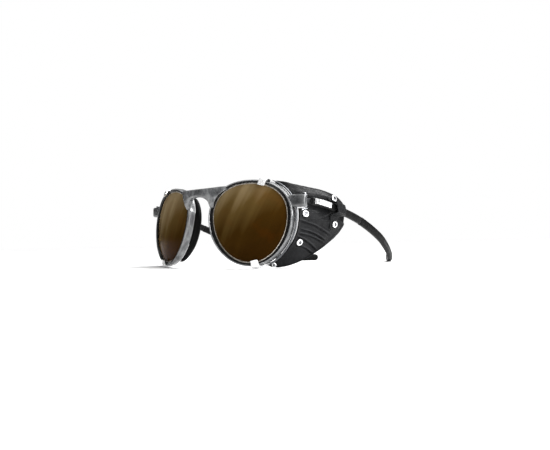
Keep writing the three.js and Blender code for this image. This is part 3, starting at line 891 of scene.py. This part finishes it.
def soft_box(name, low, high, radius, slots):
    """A box with rounded edges, from its corners."""
    bm = bmesh.new()
    bmesh.ops.create_cube(bm, size=1)
    for vertex in bm.verts:
        for axis in range(3):
            middle, size = (low[axis] + high[axis]) / 2, high[axis] - low[axis]
            vertex.co[axis] = middle + vertex.co[axis] * size
    bmesh.ops.bevel(bm, geom=bm.edges[:], offset=radius, segments=4, profile=0.5, affect="EDGES")
    points = [v.co.copy() for v in bm.verts]
    faces = [tuple(v.index for v in f.verts) for f in bm.faces]
    bm.free()
    return mesh_object(name, points, faces, slots, angle=35)


def rivet(name, k, w, size=1.0, lift=0.0):
    """A rivet through the leather: a rolled ring round a hollow, and a washer inside.

    The lift is the height of another layer of leather under the ring.
    """
    shank = 0.95
    ring = [
        (shank, 0), (2.05, 0), (2.24, 0.1), (2.3, 0.28), (2.24, 0.5), (2.05, 0.68), (1.78, 0.78), (1.5, 0.8),
    ]
    bowl = [(1.28, 0.74), (1.12, 0.58), (1.04, 0.38), (0.9, 0.24), (0.62, 0.2), (0.3, 0.26), (0.06, 0.29)]
    washer = [(0.06, -0.55), (1.3, -0.55), (1.62, -0.42), (1.7, -0.2), (1.62, 0), (shank, 0)]
    under = -LEATHER - GAP - lift
    heights = [(r, h + under) for r, h in washer] + [(r, h + GAP) for r, h in ring + bowl]
    profile = [(RIVET_SCALE * size * r, h) for r, h in heights]
    hollow = len(profile) - len(bowl)
    out = shield_normal(k, w)
    base = shield_surface(k, w) + out * lift
    return turned(name, profile, base, out, [BRIGHT, HOLLOW], 40, lambda i, j: int(i >= hollow))


def rivets():
    """Two by the rim, a stud at the bottom, and two that hold the loop."""
    for node, k, w in (("shield_upper_rivet", 0.41, 0.1), ("shield_lower_rivet", 0.635, 0.12)):
        pieces = pair(rivet(f"left_{node}_cap", k, w), node, None)
        on_leather(pieces, shield_surface(k, w))
    pair(rivet("left_stud_cap", 0.93, 0.3, 0.7), "shield_bottom_stud", "front")
    for node, k, w in (("loop_upper_rivet", 0.345, 0.76), ("loop_lower_rivet", 0.525, 0.67)):
        left = rivet(f"left_{node}_cap", k, w, lift=GAP + STRAP)
        pair(left, node, "left_temple")


def strap():
    """The loop of leather that stands over the temple, held by a rivet above and one below."""
    start, end, lift = 0.315, 0.565, 5.4
    outer, inner = [], []
    for s in fine_ends(110, 0.03):
        k = start + (end - start) * s
        outer_row, inner_row = [], []
        for share in fine_ends(40, 0.05):
            b = 2 * share - 1
            broad = math.sin(math.pi * min(1, max(0, s))) ** 0.7
            tab = min(1, 9 * min(s, 1 - s) + 0.45)
            w = 0.74 - 0.04 * broad - 0.05 * s + (0.075 + 0.02 * broad) * b * tab
            point = shield_surface(k, w)
            off = abs(point.z - temple_at(point.y)[0].z)
            height = GAP + lift * (1 - smooth(2.6, 4.2, off))
            drop = roll(min((1 - abs(b)) * 3, min(s, 1 - s) * 22), 0.5)
            crown = 0.25 * (1 - b * b) * broad
            outer_row.append(point + Vector((height + STRAP + crown - drop, 0, 0)))
            inner_row.append(point + Vector((height + min(drop, 0.45), 0, 0)))
        outer.append(outer_row)
        inner.append(inner_row)
    left = slab("left_loop", outer, inner, [STRAP_SKIN, LEATHER_EDGE], 1)
    pair(left, "shield_strap", "left_temple")


def bracket():
    """A small plate that lies on the leather by the hinge, between two k and two w values."""
    (k0, k1), (w0, w1), thickness = (0.363, 0.378), (0.03, 0.16), 0.7
    outer, inner = [], []
    for k in spread(k0, k1, 8):
        row, under = [], []
        for w in spread(w0, w1, 16):
            point, normal = shield_surface(k, w), shield_normal(k, w)
            edge = min(min(w - w0, w1 - w) * 30, min(k - k0, k1 - k) * 90)
            row.append(point + normal * (GAP + thickness - roll(edge, 0.3)))
            under.append(point + normal * GAP)
        outer.append(row)
        inner.append(under)
    left = slab("left_bracket", outer, inner, [GUNMETAL], 0)
    on_leather(pair(left, "shield_bracket", None), shield_surface(0.37, 0.095))


def teeth():
    """The fine toothed edge of the rim's outer side, above the hinge."""
    rings = []
    for i, t in enumerate(spread(math.radians(66), math.radians(30), 88)):
        tooth = 0.34 if i % 4 in (1, 2) else 0
        ring = []
        for j in range(12):
            a = 2 * math.pi * j / 12
            reach = rim_width(t) - 0.1 + (0.35 + tooth) * math.cos(a)
            ring.append(around(t, reach, 0.9 + 0.8 * math.sin(a)))
        rings.append(ring)
    extra(loft("left_teeth", rings, [CHARCOAL]))


def extra(left):
    """A left detail and its twin that stand for no CAD node. They ride on the front."""
    for piece in (left, mirrored(left, left.name.replace("left", "right", 1))):
        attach(piece, "front")


def hook_stop():
    """The small dark bead beside the top hook."""
    t = math.radians(64.5)
    base = around(t, rim_width(t) + 0.1, -0.9)
    out = (around(t, 3, 0) - around(t, 2, 0)).normalized()
    profile = [(0.05, -0.2), (0.75, -0.1), (0.95, 0.25), (0.95, 0.7), (0.78, 1.05), (0.45, 1.25), (0.05, 1.3)]
    extra(turned("left_hook_stop", profile, base, out, [BLACK], 28))


# Hinges and temples ------------------------------------------------------------------------

def barrel(low, high):
    """A knuckle round the hinge screw, between two heights."""
    radius, bore, chamfer = 1.7, 1.05, 0.15
    profile = [(bore, low), (radius - chamfer, low), (radius, low + chamfer)]
    profile += [(radius, high - chamfer), (radius - chamfer, high), (bore, high)]
    rings = []
    for r, h in profile:
        rings.append([HINGE + Vector((r * math.cos(a), r * math.sin(a), h))
                      for a in spread(0, 2 * math.pi, 40)[:-1]])
    return loft("knuckle", rings, [HINGE_STEEL], True, angle=28)


def hinge():
    """A front leaf with two knuckles, a temple leaf whose knuckle sits between them, and the screw."""
    x, y, z = HINGE
    low, high = (x - 7, y + 0.55, z - 3.3), (x - 1.25, y + 1.4, z + 3.3)
    leaf = soft_box("left_front_leaf", low, high, 0.12, [HINGE_STEEL])
    for bottom, top in ((-3.3, -1.6), (1.6, 3.3)):
        boolean(leaf, barrel(bottom, top), "UNION")
    relief = soft_box("relief", (x - 2.7, y - 2, z - 1.6), (x, y + 3, z + 1.6), 0.05, [HINGE_STEEL])
    boolean(leaf, relief, "DIFFERENCE")
    tidy_normals(leaf, 28)
    pair(leaf, "hinge_front_leaf", "front")
    low, high = (x + 0.65, y + 0.9, z - 1.2), (x + 1.25, 26.5, z + 1.2)
    swing = soft_box("left_temple_leaf", low, high, 0.1, [HINGE_STEEL])
    boolean(swing, barrel(-1.25, 1.25), "UNION")
    tidy_normals(swing, 28)
    pair(swing, "hinge_temple_leaf", "left_temple")
    profile = [
        (0.05, -3.6), (0.6, -3.6), (0.7, -3.5), (0.7, 3.65), (1.3, 3.65), (1.5, 3.8), (1.45, 4.15),
        (1.2, 4.38), (0.7, 4.48), (0.45, 4.5), (0.42, 4.1), (0.05, 4.08),
    ]
    screw = turned("left_screw", profile, HINGE, UP, [HINGE_STEEL])
    pair(screw, "hinge_screw", "left_temple")


def plain_rings(stations, hole=False):
    """Sections of the temple from (y, width, height) rows."""
    rings = []
    for y, width, height in stations:
        rings.append(soft_ring(*temple_at(y), width / 2, height / 2, 0.75 if hole else 0.6, 32))
    return rings


def temple_arm():
    """The arm, with a hole along it for the core that opens to the rear."""
    outside = [(18.2, 2.1, 3.2), (18.3, 2.5, 3.8), (18.6, 2.85, 4.2), (19.2, *ARM)]
    outside += [(y, *ARM) for y in spread(21, 59.6, 26)] + [(59.9, 2.9, 4.3), (60, 2.7, 4.1)]
    hole = [(y, *CORE_HOLE) for y in spread(60, 20, 22)]
    rings = plain_rings(outside) + plain_rings(hole, True)
    pair(loft("left_arm", rings, [BLACK]), "temple_arm", "left_temple")


def temple_tip():
    """The rubber tip: a raised collar at its start, then an even grip that ends in a soft bulb."""
    start, end, rounding = 60.35, 146, 2.6
    hole = [(y, *CORE_HOLE) for y in [134] + spread(130, 64, 30) + [start]]
    collar = [
        (start, 2.8, 4.1), (60.45, 3.15, 4.45), (60.8, 3.4, 4.65), (61.8, 3.42, 4.67), (62.4, 3.3, 4.55),
    ]
    body = []
    for y in spread(63, end - rounding, 56):
        swell = 1 + 0.1 * smooth(110, 138, y)
        body.append((y, 3.3 * swell, 4.55 * swell))
    close = []
    for share in spread(0.12, 0.97, 8):
        shrink = math.sqrt(1 - share ** 2.6)
        close.append((end - rounding * (1 - share), 3.63 * shrink, 5 * shrink))
    rings = plain_rings(hole, True) + plain_rings(collar + body + close)
    pair(loft("left_grip", rings, [RUBBER]), "temple_tip", "left_temple")


def side_plate(stations, slots, name):
    """A plate on the temple's outer face, from (y, half height, inner, outer) rows."""
    rings = []
    for y, half, low, high in stations:
        centre, out, up = temple_at(y)
        middle = centre + out * (ARM[0] / 2 + GAP + (low + high) / 2)
        rings.append(soft_ring(middle, out, up, (high - low) / 2, half, 0.3, 24))
    return loft(name, rings, slots, angle=30)


def ferrule():
    """A dark plate with three bright bars across it."""
    left = side_plate([(y, 1, 0, 0.4) for y in spread(18.62, 21.18, 8)], [BLACK], "left_ferrule_plate")
    for y0, y1, half in ((18.6, 19.2, 1.5), (19.7, 20.3, 1.45), (20.7, 21.2, 1.5)):
        rows = [(y0, half - 0.15, 0.3, 0.62), (y0 + 0.1, half, 0.2, 0.8), (y1 - 0.1, half, 0.2, 0.8)]
        boolean(left, side_plate(rows + [(y1, half - 0.15, 0.3, 0.62)], [BRIGHT], "bar"), "UNION")
    tidy_normals(left, 30)
    pair(left, "temple_ferrule", "left_temple")


def badge():
    """A plain plate with a softly raised middle."""
    start, end = 22, 32.2
    rows = [(start, 1.2, 0.1, 0.5), (start + 0.1, 1.42, 0, 0.64), (start + 0.3, 1.5, 0, 0.7)]
    rows += [(y, 1.5, 0, 0.7) for y in spread(start + 1, end - 1, 8)]
    rows += [(end - 0.3, 1.5, 0, 0.7), (end - 0.1, 1.42, 0, 0.64), (end, 1.2, 0.1, 0.5)]
    pair(side_plate(rows, [BRIGHT], "left_badge"), "temple_badge", "left_temple")


def cores():
    """The cores are hidden in the arms and tips, so the CAD solids stay and only get steel."""
    for side in ("left", "right"):
        core = frame["nodes"][f"{side}_temple_core"]
        core.data.materials.clear()
        core.data.materials.append(HINGE_STEEL)


# Stage -------------------------------------------------------------------------------------

def floor():
    """A pale floor just under the lowest point of the CAD box."""
    p = Paint("pale_floor", Specular_IOR_Level=0.0)
    p.colour(p.ramp(p.noise(60), (0.3, 0.86), (0.7, 0.88)))
    p.roughness(p.span(p.noise(30), 0.3, 0.7, 0.55, 0.62))
    mesh = bpy.data.meshes.new("floor")
    reach, steps = 3.0, 12
    grid = bmesh.new()
    bmesh.ops.create_grid(grid, x_segments=steps, y_segments=steps, size=reach)
    grid.to_mesh(mesh)
    grid.free()
    mesh.materials.append(p.material)
    obj = placed("floor", mesh)
    obj.location.z = CAD_BOX[0][2] - 0.2 * MM


def softbox(name, place, target, size, power):
    light = bpy.data.lights.new(name, "AREA")
    light.shape, light.size, light.size_y = "RECTANGLE", size[0], size[1]
    light.energy = power
    obj = placed(name, light)
    obj.location = Vector(place)
    obj.rotation_euler = (Vector(target) - Vector(place)).to_track_quat("-Z", "Y").to_euler()


def studio_world():
    """White behind the object. The light itself comes mostly from above, with a dim horizon."""
    made = bpy.data.worlds.new("studio")
    made.use_nodes = True
    nodes, links = made.node_tree.nodes, made.node_tree.links
    background = nodes["Background"]
    split = nodes.new("ShaderNodeSeparateXYZ")
    links.new(nodes.new("ShaderNodeTexCoord").outputs["Generated"], split.inputs["Vector"])
    ramp = nodes.new("ShaderNodeValToRGB")
    ramp.color_ramp.interpolation = "EASE"
    for element, place, grey in zip(ramp.color_ramp.elements, (0.1, 0.85), (0.05, 0.45)):
        element.position, element.color = place, (grey, grey, grey, 1)
    links.new(split.outputs["Z"], ramp.inputs["Fac"])
    choice = nodes.new("ShaderNodeMix")
    choice.data_type = "RGBA"
    links.new(nodes.new("ShaderNodeLightPath").outputs["Is Camera Ray"], choice.inputs[0])
    links.new(ramp.outputs["Color"], choice.inputs[6])
    choice.inputs[7].default_value = (1, 1, 1, 1)
    links.new(choice.outputs[2], background.inputs["Color"])
    background.inputs["Strength"].default_value = 1.0
    bpy.context.scene.world = made
    bpy.context.scene.view_settings.view_transform = "Standard"


def lights():
    """A broad soft sun keeps the floor evenly pale, and three softboxes draw the highlights."""
    sun = bpy.data.lights.new("soft_sun", "SUN")
    sun.energy, sun.angle = 2.9, math.radians(45)
    placed("soft_sun", sun).rotation_euler = (math.radians(-14), math.radians(10), 0)
    middle = world((30, 40, 22))
    softbox("temporal_side", (0.62, 0.02, 0.3), middle, (0.14, 0.34), 5)
    softbox("temporal_edge", (0.62, -0.24, 0.16), middle, (0.05, 0.4), 1.6)
    softbox("rear_top", (0.2, 0.5, 0.6), middle, (0.5, 0.2), 4)


def camera():
    """The photograph's camera: its place and the turn of its frame, from a fit to the lenses."""
    azimuth, elevation, rolled = math.radians(46.57), math.radians(-1.46), math.radians(-1.29)
    back = Vector((
        math.sin(azimuth) * math.cos(elevation), -math.cos(azimuth) * math.cos(elevation), math.sin(elevation)
    ))
    right = Vector((math.cos(azimuth), math.sin(azimuth), 0))
    up = back.cross(right)
    turned_right = right * math.cos(rolled) + up * math.sin(rolled)
    turned_up = up * math.cos(rolled) - right * math.sin(rolled)
    data = bpy.data.cameras.new("camera")
    data.lens, data.sensor_width = 42.75, 36
    data.shift_x, data.shift_y = 0.0643, 0.0035
    data.clip_start = 0.01
    obj = placed("camera", data)
    obj.matrix_world = Matrix((
        (turned_right.x, turned_up.x, back.x, 0), (turned_right.y, turned_up.y, back.y, 0),
        (turned_right.z, turned_up.z, back.z, 0), (0, 0, 0, 1),
    ))
    obj.location = world((302.4, -256.3, 14.4))
    bpy.context.scene.camera = obj


front_frame()
lenses()
nose_pad()
wire()
clips()
teeth()
hook_stop()
side_shield()
bracket()
rivets()
strap()
hinge()
temple_arm()
temple_tip()
ferrule()
badge()
cores()
floor()
studio_world()
lights()
camera()
